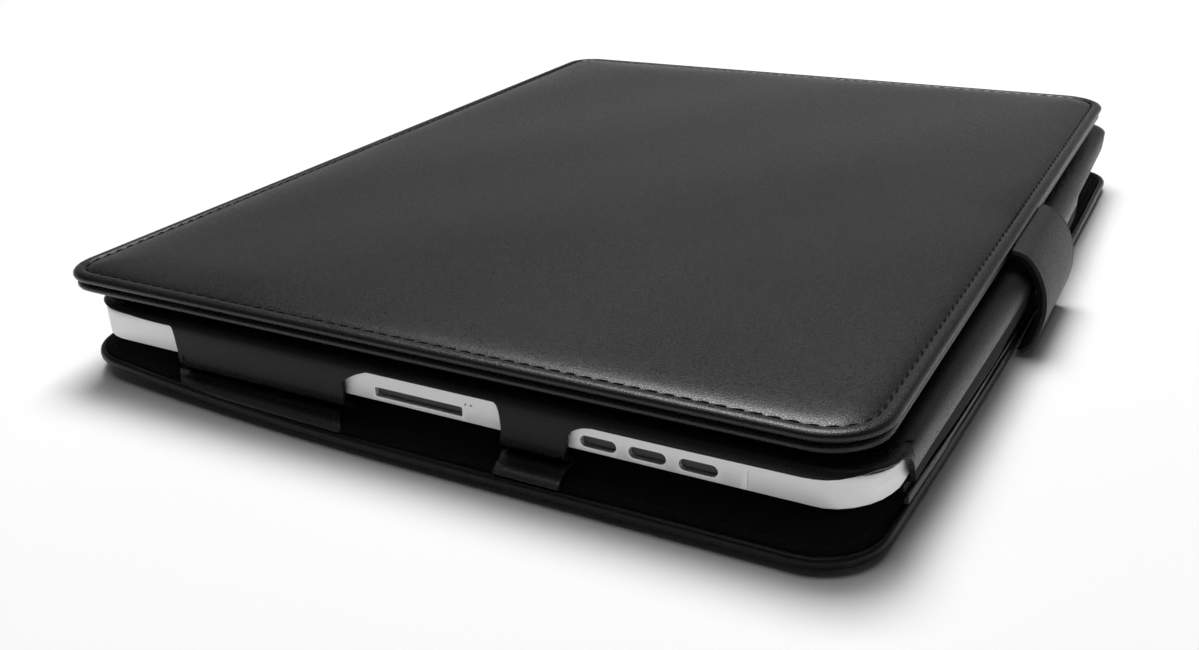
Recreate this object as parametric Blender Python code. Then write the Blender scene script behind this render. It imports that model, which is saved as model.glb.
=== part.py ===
"""A book-style leather tablet case with a closing strap, closed on the tablet that it carries.

Units are metres, +Z up. The case lies on its back panel: X runs from the spine (-X) to the strap
(+X), Y from the near short end (-Y) to the open far end (+Y). The origin is the centre of the flat
underside, straight below the tablet's centre.
"""
import math

import bmesh
import bpy

MM = 0.001

# Driving dimensions, in millimetres.
TABLET_HALF_X = 94.85
TABLET_HALF_Y = 121.4
TABLET_CORNER = 11.0
TABLET_BASE = 4.5
TABLET_BAND = 11.0
TABLET_TOP = 17.9
BACK_CURVE = 22.0

GAP = 0.3

BACK_OUTLINE = dict(x=(-101.0, 98.0), y=(-127.0, 119.5), radii=(13.5, 13.0, 12.0, 13.0), bow=3.2, rake=5.2)
FRAME_OUTLINE = dict(x=(-96.6, 96.6), y=(-123.0, 121.0), radii=(12.5, 12.5, 12.5, 12.5), bow=0.0, rake=0.0)
WINDOW_OUTLINE = dict(x=(-83.0, 83.0), y=(-105.0, 108.0), radii=(6.0, 6.0, 6.0, 6.0), bow=0.0, rake=0.0)
COVER_OUTLINE = dict(x=(-100.2, 93.7), y=(-123.7, 124.1), radii=(9.5, 13.0, 13.0, 9.5), bow=0.0, rake=0.0)
TABLET_OUTLINE = dict(
    x=(-TABLET_HALF_X, TABLET_HALF_X),
    y=(-TABLET_HALF_Y, TABLET_HALF_Y),
    radii=(TABLET_CORNER,) * 4,
    bow=0.0,
    rake=0.0,
)
BOW_CENTRE = 60.0
BOW_REACH = 165.0
BOW_FROM_X = 60.0
BOW_FULL_X = 90.0
RAKE_REACH = 101.0

LINING_TOP = 3.9
FRAME_TOP = 19.8
LIP_LOW = 16.6
LIP_OPEN = 18.7
COVER_LOW = 22.2
COVER_SEAM = 23.9
COVER_TOP = 27.3

WALL_TOP = 16.3
WALL_OUTER = 96.4
FLANGE_TOP = 5.35
FLANGE_LOW = 4.2
# The strap-side wall at a few places along Y: how far its middle bulges out, and how far out its
# foot turns into the flange.
RIGHT_WALL = (
    (-100.0, 0.0, 0.0),
    (-80.0, 0.5, 1.4),
    (-60.0, 0.9, 2.3),
    (-40.0, 1.4, 2.9),
    (-20.0, 1.7, 3.0),
    (13.0, 1.7, 3.0),
    (46.0, 1.2, 3.0),
)
LEFT_WALL_Y = (-100.0, 100.0)
WIDE_STRAP_X = (-65.0, -18.0)
NARROW_STRAP_X = (20.5, 35.5)
END_SHIFT = TABLET_HALF_Y - TABLET_HALF_X
END_FLANGE_Y = 125.4
LEFT_FLANGE_X = 98.0

SPINE_Y = (-109.0, 109.0)
SPINE_Z = (5.0, 21.6)
SPINE_OUTER = -101.4

STRAP_Y = (-21.0, 14.5)
STRAP_LAYERS = dict(leather=(0.0, 1.1), lining=(1.4, 2.5), tip_lining=(2.15, 2.5), magnet=(1.4, 1.85))
STRAP_TIP_SHARE = 0.8
STRAP_CURVE = (
    (94.4, 24.6),
    (97.0, 23.7),
    (99.4, 21.4),
    (101.3, 18.1),
    (102.5, 14.4),
    (102.9, 10.6),
    (102.3, 6.6),
    (101.2, 3.2),
    (99.9, 0.8),
)
STRAP_STEPS = 24
MAGNET_FROM = 18
MAGNET_MARGIN = 4.0

DOCK_SLOT = dict(x=(-10.7, 10.7), z=(12.1, 14.2))
SPEAKER_CENTRES = (41.0, 51.1, 61.25)
SPEAKER_SIZE = (7.6, 2.4)
SPEAKER_Z = 13.2

LEATHER_BLACK = ("leather_black", (0.018, 0.018, 0.019), 0.42, 0.0)
LINING_BLACK = ("lining_black", (0.006, 0.006, 0.006), 0.95, 0.0)
BOARD_GREY = ("board_grey", (0.25, 0.24, 0.22), 0.9, 0.0)
FOAM_DARK = ("foam_dark", (0.05, 0.05, 0.05), 0.95, 0.0)
STEEL = ("steel", (0.55, 0.55, 0.56), 0.3, 1.0)
MAGNET_BROWN = ("magnet_strip", (0.06, 0.05, 0.045), 0.7, 0.0)
ALUMINIUM = ("aluminium", (0.74, 0.74, 0.75), 0.38, 1.0)
GLASS_BLACK = ("glass_black", (0.01, 0.01, 0.012), 0.06, 0.0)
DISPLAY_DARK = ("display_dark", (0.02, 0.02, 0.022), 0.3, 0.0)
BATTERY_GREY = ("battery_grey", (0.2, 0.2, 0.21), 0.5, 0.0)
SOCKET_BLACK = ("socket_black", (0.03, 0.03, 0.03), 0.5, 0.0)


def clear_scene():
    for item in list(bpy.data.objects):
        bpy.data.objects.remove(item, do_unlink=True)


def material_of(finish):
    """One Principled material for each finish, shared by the pieces that have it."""
    name, colour, roughness, metallic = finish
    material = bpy.data.materials.get(name)
    if material is None:
        material = bpy.data.materials.new(name)
        material.use_nodes = True
        shader = material.node_tree.nodes["Principled BSDF"]
        shader.inputs["Base Color"].default_value = (*colour, 1.0)
        shader.inputs["Roughness"].default_value = roughness
        shader.inputs["Metallic"].default_value = metallic
    return material


def link_mesh(name, mesh_edit, finish):
    """A finished mesh as a named object with its material."""
    bmesh.ops.recalc_face_normals(mesh_edit, faces=mesh_edit.faces)
    mesh = bpy.data.meshes.new(name)
    mesh_edit.to_mesh(mesh)
    mesh_edit.free()
    mesh.materials.append(material_of(finish))
    mesh.shade_smooth()
    mesh.set_sharp_from_angle(angle=math.radians(35))
    piece = bpy.data.objects.new(name, mesh)
    bpy.context.scene.collection.objects.link(piece)
    return piece


def edge_bow(amount, y):
    """How far the strap-side edge has drawn in at y, in millimetres."""
    return -amount * ((y - BOW_CENTRE) / BOW_REACH) ** 2


def edge_rake(amount, x, y):
    """How far the near edge has drawn back towards the spine at x, in millimetres."""
    near = min(max((-y - 60.0) / 60.0, 0.0), 1.0)
    return near * amount * (min(x, 0.0) / RAKE_REACH) ** 2


def ring_points(outline, inset, z, corner_steps=4, side_steps=4):
    """A rounded rectangle drawn in by inset, anticlockwise from its near left corner.

    z is a height, or a function of y for a rim whose height changes round the outline.
    """
    x_low, x_high = outline["x"]
    y_low, y_high = outline["y"]
    corners = (
        (x_low, y_low, 180, outline["radii"][0]),
        (x_high, y_low, 270, outline["radii"][1]),
        (x_high, y_high, 0, outline["radii"][2]),
        (x_low, y_high, 90, outline["radii"][3]),
    )
    arcs = []
    for corner_x, corner_y, start, radius in corners:
        toward_x = 1 if corner_x == x_low else -1
        toward_y = 1 if corner_y == y_low else -1
        centre_x = corner_x + toward_x * radius
        centre_y = corner_y + toward_y * radius
        reach = max(radius - inset, 0.5)
        if radius - inset < reach:
            centre_x = corner_x + toward_x * (inset + reach)
            centre_y = corner_y + toward_y * (inset + reach)
        arc = []
        for step in range(corner_steps + 1):
            angle = math.radians(start + 90 * step / corner_steps)
            arc.append((centre_x + reach * math.cos(angle), centre_y + reach * math.sin(angle)))
        arcs.append(arc)
    flat = []
    for index, arc in enumerate(arcs):
        flat.extend(arc)
        end = arc[-1]
        start = arcs[(index + 1) % 4][0]
        for step in range(1, side_steps + 1):
            part = step / (side_steps + 1)
            flat.append((end[0] + (start[0] - end[0]) * part, end[1] + (start[1] - end[1]) * part))
    points = []
    for x, y in flat:
        share = min(max((x - BOW_FROM_X) / (BOW_FULL_X - BOW_FROM_X), 0.0), 1.0)
        height = z(y) if callable(z) else z
        bowed_x = x + share * edge_bow(outline["bow"], y)
        raked_y = y + edge_rake(outline["rake"], x, y)
        points.append((bowed_x * MM, raked_y * MM, height * MM))
    return points


def skin(name, rings, finish, closed=False):
    """A closed body through rings of equal length: capped at both ends, or joined into a loop."""
    mesh_edit = bmesh.new()
    rows = [[mesh_edit.verts.new(point) for point in ring] for ring in rings]
    count = len(rows[0])
    pairs = list(zip(rows, rows[1:]))
    if closed:
        pairs.append((rows[-1], rows[0]))
    else:
        mesh_edit.faces.new(rows[0])
        mesh_edit.faces.new(rows[-1])
    for first, second in pairs:
        for index in range(count):
            after = (index + 1) % count
            mesh_edit.faces.new((first[index], first[after], second[after], second[index]))
    return link_mesh(name, mesh_edit, finish)


def panel(name, outline, levels, finish):
    """A panel drawn as its cross-section's levels, each an inset and a height."""
    return skin(name, [ring_points(outline, inset, z) for inset, z in levels], finish)


def box(name, x, y, z, finish, bevel=0.0):
    """A box from its low and high values on each axis, with its edges eased."""
    mesh_edit = bmesh.new()
    bmesh.ops.create_cube(mesh_edit, size=1.0)
    for vert in mesh_edit.verts:
        vert.co.x = (x[0] if vert.co.x < 0 else x[1]) * MM
        vert.co.y = (y[0] if vert.co.y < 0 else y[1]) * MM
        vert.co.z = (z[0] if vert.co.z < 0 else z[1]) * MM
    piece = link_mesh(name, mesh_edit, finish)
    if bevel:
        modifier = piece.modifiers.new("eased_edges", "BEVEL")
        modifier.width = bevel * MM
        modifier.segments = 2
        modifier.limit_method = "ANGLE"
    return piece


def cut(piece, cutter):
    """Takes the cutter out of the piece."""
    cutter.hide_render = True
    cutter.display_type = "WIRE"
    modifier = piece.modifiers.new("cut_" + cutter.name, "BOOLEAN")
    modifier.operation = "DIFFERENCE"
    modifier.object = cutter


def lip(y):
    """Height of the frame's folded edge: down over the tablet, but raised at the open far end."""
    raised = min(max((y - 96.0) / 14.0, 0.0), 1.0)
    return LIP_LOW + (LIP_OPEN - LIP_LOW) * raised


def back_panel():
    """Outer leather dished like a shallow tray, stiffener board and microfibre lining."""
    panel(
        "back_leather",
        BACK_OUTLINE,
        (
            (10.0, 0.0),
            (2.5, 0.8),
            (0.4, 1.5),
            (0.0, 2.4),
            (0.0, 3.4),
            (0.5, LINING_TOP),
            (1.7, LINING_TOP),
            (2.0, 3.5),
            (2.0, 1.9),
            (10.0, 0.9),
        ),
        LEATHER_BLACK,
    )
    panel("back_board", BACK_OUTLINE, ((10.0, 1.2), (4.0, 1.95), (4.0, 2.55), (10.0, 1.9)), BOARD_GREY)
    lining = panel(
        "back_lining",
        BACK_OUTLINE,
        ((10.0, 2.2), (4.0, 2.85), (2.3, 2.85), (2.3, LINING_TOP), (10.0, LINING_TOP)),
        LINING_BLACK,
    )
    recess = box("keeper_recess", (76.7, 87.3), (-19.3, 13.3), (1.5, 3.15), LINING_BLACK)
    cut(lining, recess)
    box("keeper_plate", (77.0, 87.0), (-19.0, 13.0), (2.2, 2.8), STEEL)


def sleeve_frame():
    """Leather frame round the screen window, with its outer edge folded down over the tablet."""
    levels = (
        (WINDOW_OUTLINE, 0.0, 18.8),
        (WINDOW_OUTLINE, 0.0, FRAME_TOP),
        (FRAME_OUTLINE, 3.0, FRAME_TOP),
        (FRAME_OUTLINE, 1.2, 19.5),
        (FRAME_OUTLINE, 0.4, 18.9),
        (FRAME_OUTLINE, 0.0, lambda y: max(17.8, lip(y) + 0.15)),
        (FRAME_OUTLINE, 0.0, lip),
        (FRAME_OUTLINE, 1.15, lip),
        (FRAME_OUTLINE, 1.15, lambda y: max(18.3, lip(y) + 0.05)),
        (FRAME_OUTLINE, 1.6, 18.8),
    )
    rings = [ring_points(outline, inset, z) for outline, inset, z in levels]
    skin("sleeve_frame", rings, LEATHER_BLACK, closed=True)
    levels = ((WINDOW_OUTLINE, 0.4), (FRAME_OUTLINE, 3.0))
    low = [ring_points(outline, inset, 18.15) for outline, inset in levels]
    high = [ring_points(outline, inset, 18.5) for outline, inset in levels]
    skin("frame_lining", [low[0], low[1], high[1], high[0]], LINING_BLACK, closed=True)


def wall_section(flange_end):
    """Cross-section of a sleeve wall, as distance out from the tablet's middle and height.

    The leather drops down the tablet's straight side, follows its curved back inwards, and turns
    out again as the flange that is sewn to the back panel.
    """
    drop = (
        (WALL_OUTER, WALL_TOP),
        (WALL_OUTER, 12.4),
        (96.1, 10.8),
        (95.4, 9.2),
        (93.6, 8.0),
        (92.3, 7.0),
        (91.7, 6.0),
    )
    flange = (
        (92.2, FLANGE_TOP),
        (flange_end - 0.5, FLANGE_TOP),
        (flange_end, FLANGE_TOP - 0.35),
        (flange_end, FLANGE_LOW + 0.2),
        (flange_end - 0.4, FLANGE_LOW),
        (91.2, FLANGE_LOW),
        (90.5, 5.0),
        (90.5, 6.4),
    )
    rise = ((91.2, 7.6), (92.7, 8.8), (94.6, 9.9), (95.25, 11.2), (95.25, WALL_TOP))
    return drop + flange + rise


def sleeve_walls():
    """The two long walls and the two bridges of the near end."""
    stations = []
    for y, bulge, foot in RIGHT_WALL:
        flange_end = BACK_OUTLINE["x"][1] + edge_bow(BACK_OUTLINE["bow"], y) - 0.5
        station = []
        for out, height in wall_section(flange_end):
            if FLANGE_TOP < height < WALL_TOP:
                out += bulge + (foot - bulge) * min(max((9.0 - height) / 2.0, 0.0), 1.0)
            elif height <= FLANGE_TOP and out < flange_end - 0.6:
                out = min(out + foot, flange_end - 0.6)
            station.append((out * MM, y * MM, height * MM))
        stations.append(station)
    skin("side_wall_right", stations, LEATHER_BLACK)
    section = wall_section(LEFT_FLANGE_X)
    stations = [[(-out * MM, y * MM, height * MM) for out, height in section] for y in LEFT_WALL_Y]
    skin("side_wall_left", stations, LEATHER_BLACK)
    section = [(out + END_SHIFT, height) for out, height in wall_section(END_FLANGE_Y - END_SHIFT)]
    for name, span in (("end_strap_wide", WIDE_STRAP_X), ("end_strap_narrow", NARROW_STRAP_X)):
        stations = [[(x * MM, -out * MM, height * MM) for out, height in section] for x in span]
        skin(name, stations, LEATHER_BLACK)


def spine():
    """Three flat layers between the two creases."""
    box("spine_leather", (SPINE_OUTER, SPINE_OUTER + 1.0), SPINE_Y, SPINE_Z, LEATHER_BLACK, 0.35)
    board_y = (SPINE_Y[0] + 2.0, SPINE_Y[1] - 2.0)
    board_z = (SPINE_Z[0] + 1.0, SPINE_Z[1] - 1.0)
    box("spine_board", (-100.1, -99.5), board_y, board_z, BOARD_GREY)
    box("spine_lining", (-99.2, -98.4), SPINE_Y, SPINE_Z, LINING_BLACK, 0.3)


def front_cover():
    """Padded leather over foam and board, closed underneath by the lining layer."""
    panel(
        "cover_leather",
        COVER_OUTLINE,
        (
            (9.0, COVER_TOP),
            (3.0, 27.0),
            (0.9, 26.4),
            (0.0, 25.5),
            (0.2, 24.6),
            (0.9, COVER_SEAM + GAP),
            (3.0, COVER_SEAM + GAP),
            (3.0, 25.9),
            (9.0, 26.3),
        ),
        LEATHER_BLACK,
    )
    panel("cover_foam", COVER_OUTLINE, ((3.4, 25.1), (3.4, 25.6), (9.0, 26.0), (12.0, 26.0)), FOAM_DARK)
    panel("cover_board", COVER_OUTLINE, ((3.4, 24.2), (3.4, 24.8)), BOARD_GREY)
    panel(
        "cover_lining",
        COVER_OUTLINE,
        ((2.0, COVER_LOW), (0.9, 22.5), (0.6, 23.0), (0.9, 23.6), (2.0, COVER_SEAM)),
        LINING_BLACK,
    )


def strap_path():
    """The strap's outer face from its root to its tip: points and outward normals, in millimetres."""
    spline_points = []
    last = len(STRAP_CURVE) - 1
    for step in range(STRAP_STEPS + 1):
        place = step / STRAP_STEPS * last
        index = min(int(place), last - 1)
        part = place - index
        before = STRAP_CURVE[max(index - 1, 0)]
        start, end = STRAP_CURVE[index], STRAP_CURVE[index + 1]
        after = STRAP_CURVE[min(index + 2, last)]
        spline_points.append(tuple(
            0.5 * (2 * start[axis]
                   + (end[axis] - before[axis]) * part
                   + (2 * before[axis] - 5 * start[axis] + 4 * end[axis] - after[axis]) * part**2
                   + (3 * start[axis] - before[axis] - 3 * end[axis] + after[axis]) * part**3)
            for axis in (0, 1)
        ))
    path = []
    for index, (x, z) in enumerate(spline_points):
        ahead = spline_points[min(index + 1, STRAP_STEPS)]
        behind = spline_points[max(index - 1, 0)]
        run = (ahead[0] - behind[0], ahead[1] - behind[1])
        length = math.hypot(*run)
        path.append((x, z, -run[1] / length, run[0] / length))
    return path


def strap_layer(name, path, depths, y, finish):
    """One layer of the strap: depths gives its outer and inner depth under the outer face."""
    outer = []
    inner = []
    for (x, z, normal_x, normal_z), (top, bottom) in zip(path, depths):
        outer.append((x - normal_x * top, z - normal_z * top))
        inner.append((x - normal_x * bottom, z - normal_z * bottom))
    section = outer + inner[::-1]
    stations = [[(x * MM, side * MM, z * MM) for x, z in section] for side in y]
    return skin(name, stations, finish)


def closing_strap():
    """Leather outside, microfibre inside, and a magnetic strip let into the lining at the tip.

    All the layers thin towards the tip.
    """
    path = strap_path()
    shares = []
    for index in range(len(path)):
        toward_tip = max(index - MAGNET_FROM, 0) / (STRAP_STEPS - MAGNET_FROM)
        shares.append(1 - (1 - STRAP_TIP_SHARE) * toward_tip)

    def depths_of(layer, share):
        return tuple(depth * share for depth in STRAP_LAYERS[layer])

    leather_depths = [depths_of("leather", share) for share in shares]
    lining_depths = []
    for index, share in enumerate(shares):
        layer = "lining" if index < MAGNET_FROM else "tip_lining"
        lining_depths.append(depths_of(layer, share))
    strap_layer("strap_leather", path, leather_depths, STRAP_Y, LEATHER_BLACK)
    strap_layer("strap_lining", path, lining_depths, STRAP_Y, LINING_BLACK)
    magnet_y = (STRAP_Y[0] + MAGNET_MARGIN, STRAP_Y[1] - MAGNET_MARGIN)
    magnet_span = slice(MAGNET_FROM + 1, STRAP_STEPS)
    magnet_depths = [depths_of("magnet", share) for share in shares[magnet_span]]
    strap_layer("strap_magnet", path[magnet_span], magnet_depths, magnet_y, MAGNET_BROWN)


def back_curve(steps=6):
    """Levels of the tablet's curved back, from its flat middle out to the straight band."""
    levels = []
    for step in range(steps + 1):
        part = step / steps
        levels.append((BACK_CURVE * (1 - part), TABLET_BASE + (TABLET_BAND - TABLET_BASE) * part**2))
    return levels


def obround(name, centre_x, half_length, half_height, y, z, finish):
    """A bar with round ends along X, running through from y[0] to y[1]."""
    section = []
    for side, start in ((1, -90), (-1, 90)):
        for step in range(7):
            angle = math.radians(start + 30 * step)
            section.append((centre_x + side * (half_length - half_height) + half_height * math.cos(angle),
                            z + half_height * math.sin(angle)))
    stations = [[(x * MM, depth * MM, height * MM) for x, height in section] for depth in y]
    return skin(name, stations, finish)


def tablet():
    """The tablet that the case carries: shell, glass, display, battery, socket and speaker grilles."""
    levels = back_curve() + [
        (0.0, 17.3),
        (0.4, TABLET_TOP),
        (1.2, TABLET_TOP),
        (1.2, 16.4),
        (2.6, 16.4),
        (2.6, 11.0),
        (12.0, 7.3),
        (24.0, 5.7),
    ]
    shell = panel("tablet_shell", TABLET_OUTLINE, levels, ALUMINIUM)
    face = -TABLET_HALF_Y
    wall = (face - 1.0, face + 3.2)
    cut(shell, box("dock_cutter", DOCK_SLOT["x"], wall, DOCK_SLOT["z"], SOCKET_BLACK))
    half_length, half_height = SPEAKER_SIZE[0] / 2, SPEAKER_SIZE[1] / 2
    for index, centre in enumerate(SPEAKER_CENTRES, start=1):
        cutter = obround(f"speaker_cutter_{index}", centre, half_length, half_height, wall, SPEAKER_Z,
                         SOCKET_BLACK)
        cut(shell, cutter)
        grille_y = (face + 0.9, face + 2.4)
        obround(f"tablet_speaker_grille_{index}", centre, half_length - GAP, half_height - GAP, grille_y,
                SPEAKER_Z, SOCKET_BLACK)
    socket_x = (DOCK_SLOT["x"][0] + GAP, DOCK_SLOT["x"][1] - GAP)
    socket_z = (DOCK_SLOT["z"][0] + GAP, DOCK_SLOT["z"][1] - GAP)
    box("tablet_dock_socket", socket_x, (face + 0.9, face + 9.0), socket_z, SOCKET_BLACK)
    panel("tablet_glass", TABLET_OUTLINE, ((1.5, 16.7), (1.5, 17.7), (1.7, TABLET_TOP)), GLASS_BLACK)
    panel("tablet_display", TABLET_OUTLINE, ((16.0, 14.9), (16.0, 16.4)), DISPLAY_DARK)
    panel("tablet_battery", TABLET_OUTLINE, ((40.0, 6.4), (40.0, 11.0)), BATTERY_GREY)


clear_scene()
back_panel()
sleeve_frame()
sleeve_walls()
spine()
front_cover()
closing_strap()
tablet()
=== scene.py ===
"""A book-style leather tablet case with a closing strap, closed on the tablet that it carries.

Metres, +Z up. The case lies on its back panel, with its spine at -X, its strap at +X, its near short
end at -Y and the open end of its pocket at +Y.
"""

import math

import bpy
from mathutils import Matrix, Vector


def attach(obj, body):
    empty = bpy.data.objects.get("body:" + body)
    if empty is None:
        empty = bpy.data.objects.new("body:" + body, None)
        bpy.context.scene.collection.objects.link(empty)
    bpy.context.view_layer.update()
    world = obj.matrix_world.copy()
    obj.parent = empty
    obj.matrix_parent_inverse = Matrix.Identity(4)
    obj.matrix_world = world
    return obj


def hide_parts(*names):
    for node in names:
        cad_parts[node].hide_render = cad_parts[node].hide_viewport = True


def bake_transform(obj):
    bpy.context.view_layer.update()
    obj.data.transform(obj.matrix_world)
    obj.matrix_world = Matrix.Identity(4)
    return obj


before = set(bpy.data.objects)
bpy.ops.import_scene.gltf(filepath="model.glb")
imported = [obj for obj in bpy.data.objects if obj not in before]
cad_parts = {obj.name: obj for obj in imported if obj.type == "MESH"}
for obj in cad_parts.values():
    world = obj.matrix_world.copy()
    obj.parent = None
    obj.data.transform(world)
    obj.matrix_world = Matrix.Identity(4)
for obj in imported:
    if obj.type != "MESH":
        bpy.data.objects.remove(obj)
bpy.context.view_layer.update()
MM = 0.001


# Camera, floor and light
# The case is seen from above its near right corner with a moderate lens. It lies on a white table
# under a large soft box beyond its far left corner, and the bright table lights its cut-outs.

camera_data = bpy.data.cameras.new("camera")
camera_data.lens = 36.87
camera_data.sensor_width = 36.0
camera_data.clip_start = 0.01
camera_data.clip_end = 20.0
camera = bpy.data.objects.new("camera", camera_data)
bpy.context.scene.collection.objects.link(camera)
camera.location = (0.1395, -0.2936, 0.1255)
camera.rotation_mode = "YXZ"
camera.rotation_euler = (math.radians(65.925), math.radians(4.979), math.radians(23.994))
bpy.context.scene.camera = camera
bpy.context.scene.view_settings.view_transform = "Standard"

bpy.ops.object.select_all(action="DESELECT")
bpy.ops.mesh.primitive_plane_add(size=12.0, location=(0.0, 0.0, 0.0))
floor = bpy.context.object
floor.name = "white_table"


def add_node(tree, kind, sockets=None, **settings):
    """A new shader node with these properties and these values in its named inputs."""
    node = tree.nodes.new("ShaderNode" + kind)
    for setting, value in settings.items():
        setattr(node, setting, value)
    for socket, value in (sockets or {}).items():
        node.inputs[socket].default_value = value
    return node


def wire(tree, *runs):
    """Links a node's output to another's input, for each (giver, output, taker, input)."""
    for giver, output, taker, socket in runs:
        tree.links.new(giver.outputs[output], taker.inputs[socket])


def new_finish(name, **sockets):
    """A new material, its node tree and its shader, with plain values set on the shader's sockets."""
    material = bpy.data.materials.new(name)
    material.use_nodes = True
    shader = material.node_tree.nodes["Principled BSDF"]
    for socket, value in sockets.items():
        shader.inputs[socket.replace("_", " ")].default_value = value
    return material, material.node_tree, shader


def tone_mix(tree, dark, light):
    """A mix from one colour to another, each given as a grey or as red, green and blue."""
    ends = [(tone, tone, tone) if isinstance(tone, float) else tone for tone in (dark, light)]
    return add_node(tree, "Mix", {"A": (*ends[0], 1.0), "B": (*ends[1], 1.0)}, data_type="RGBA")


table_white, tree, shader = new_finish("table_white", Roughness=0.7, Specular_IOR_Level=0.15)
place = add_node(tree, "TexCoord")
cloud = add_node(tree, "TexNoise", {"Scale": 3.0})
shade = tone_mix(tree, 0.93, 0.96)
wire(tree, (place, "Object", cloud, "Vector"), (cloud, "Fac", shade, "Factor"),
     (shade, "Result", shader, "Base Color"))
floor.data.materials.append(table_white)

world = bpy.data.worlds.new("room")
bpy.context.scene.world = world
world.use_nodes = True
tree = world.node_tree
around = add_node(tree, "TexCoord")
parts = add_node(tree, "SeparateXYZ")
height_ramp = add_node(tree, "ValToRGB")
ramp_stops = height_ramp.color_ramp.elements
ramp_stops[0].color = (1.0, 1.0, 1.0, 1.0)
ramp_stops[1].position = 0.7
ramp_stops[1].color = (0.045, 0.045, 0.045, 1.0)
for position, tone in ((0.19, 0.70), (0.32, 0.05)):
    stop = ramp_stops.new(position)
    stop.color = (tone, tone, tone, 1.0)
toward_far = add_node(tree, "MapRange", {"From Min": -1.0, "To Min": 0.15})
dimmed = add_node(tree, "Mix", {"Factor": 1.0}, data_type="RGBA", blend_type="MULTIPLY")
wire(tree, (around, "Generated", parts, "Vector"), (parts, "Z", height_ramp, "Fac"),
     (parts, "Y", toward_far, "Value"), (height_ramp, "Color", dimmed, "A"),
     (toward_far, "Result", dimmed, "B"), (dimmed, "Result", tree.nodes["Background"], "Color"))
tree.nodes["Background"].inputs["Strength"].default_value = 0.75


def soft_box(name, place, aim, width, depth, power):
    """A rectangular soft light at place, facing aim."""
    lamp_data = bpy.data.lights.new(name, "AREA")
    lamp_data.shape = "RECTANGLE"
    lamp_data.size = width
    lamp_data.size_y = depth
    lamp_data.energy = power
    lamp = bpy.data.objects.new(name, lamp_data)
    bpy.context.scene.collection.objects.link(lamp)
    lamp.location = place
    lamp.rotation_euler = (Vector(aim) - Vector(place)).to_track_quat("-Z", "Y").to_euler()
    return lamp


soft_box("far_soft_box", (-0.27, 0.5, 1.44), (0.0, 0.0, 0.0), 0.8, 0.7, 23.5)
soft_box("overhead_soft_box", (-0.1, 0.0, 1.7), (0.0, 0.0, 0.0), 1.5, 1.3, 8.0)


# Back panel: outer leather
# The back is one piece of thin black leather drawn over a stiff board and turned in round its edge,
# slightly dished so that it rests on its middle. Its strap-side edge bows in towards both ends.

BACK_OUTLINE = dict(x=(-101.0, 98.0), y=(-127.0, 119.5), radii=(13.5, 13.0, 12.0, 13.0), bow=3.2, rake=5.2)


def side_place(outline, inset, side, part):
    """A place on a rounded outline drawn in by inset, in millimetres, and its direction outwards.

    Sides are 0 near, 1 strap side, 2 far, 3 spine side, each from the middle of one corner's curve to
    the middle of the next, anticlockwise; part runs from 0 to 1 along the side.
    """
    low_x, high_x = outline["x"]
    low_y, high_y = outline["y"]
    corners = ((low_x, low_y, 1, 1), (high_x, low_y, -1, 1), (high_x, high_y, -1, -1),
               (low_x, high_y, 1, -1))
    centres = []
    reaches = []
    for (corner_x, corner_y, toward_x, toward_y), radius in zip(corners, outline["radii"]):
        reach = max(radius - inset, 0.5)
        middle = max(radius, inset + reach)
        centres.append((corner_x + toward_x * middle, corner_y + toward_y * middle))
        reaches.append(reach)
    following = (side + 1) % 4
    first, last = centres[side], centres[following]
    first_arc = reaches[side] * math.pi / 4
    last_arc = reaches[following] * math.pi / 4
    straight = math.hypot(last[0] - first[0], last[1] - first[1])
    run = part * (first_arc + straight + last_arc)
    outward = -90.0 + 90.0 * side
    if run < first_arc:
        angle = math.radians(outward - 45.0 + 45.0 * run / first_arc)
        centre, reach = first, reaches[side]
    elif run > first_arc + straight:
        angle = math.radians(outward + 45.0 * (run - first_arc - straight) / last_arc)
        centre, reach = last, reaches[following]
    else:
        angle = math.radians(outward)
        share = (run - first_arc) / max(straight, 1e-6)
        centre = (first[0] + (last[0] - first[0]) * share, first[1] + (last[1] - first[1]) * share)
        reach = reaches[side] + (reaches[following] - reaches[side]) * share
    x = centre[0] + reach * math.cos(angle)
    y = centre[1] + reach * math.sin(angle)
    drawn = min(max((x - 60.0) / 30.0, 0.0), 1.0)
    x -= drawn * outline["bow"] * ((y - 60.0) / 165.0) ** 2
    y += min(max((-y - 60.0) / 60.0, 0.0), 1.0) * outline["rake"] * (min(x, 0.0) / 101.0) ** 2
    return x, y, math.cos(angle), math.sin(angle)


def new_grid(name, columns, rows):
    """A flat grid mesh, with each point's column and row."""
    bpy.ops.object.select_all(action="DESELECT")
    bpy.ops.mesh.primitive_grid_add(x_subdivisions=columns, y_subdivisions=rows, size=1.0)
    piece = bpy.context.object
    piece.name = name
    piece.data.name = name
    cells = [(round((v.co.x + 0.5) * columns), round((v.co.y + 0.5) * rows)) for v in piece.data.vertices]
    return piece, cells


def edit_all(piece, *steps):
    """Runs edit-mode operators on the whole of one piece."""
    bpy.ops.object.select_all(action="DESELECT")
    piece.select_set(True)
    bpy.context.view_layer.objects.active = piece
    bpy.ops.object.mode_set(mode="EDIT")
    bpy.ops.mesh.select_all(action="SELECT")
    for step in steps:
        step()
    bpy.ops.object.mode_set(mode="OBJECT")


def apply_modifier(piece, kind, **settings):
    """Adds one modifier with these settings and applies it."""
    bpy.ops.object.select_all(action="DESELECT")
    piece.select_set(True)
    bpy.context.view_layer.objects.active = piece
    modifier = piece.modifiers.new(kind.lower(), kind)
    for setting, value in settings.items():
        setattr(modifier, setting, value)
    bpy.ops.object.modifier_apply(modifier=modifier.name)


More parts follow.
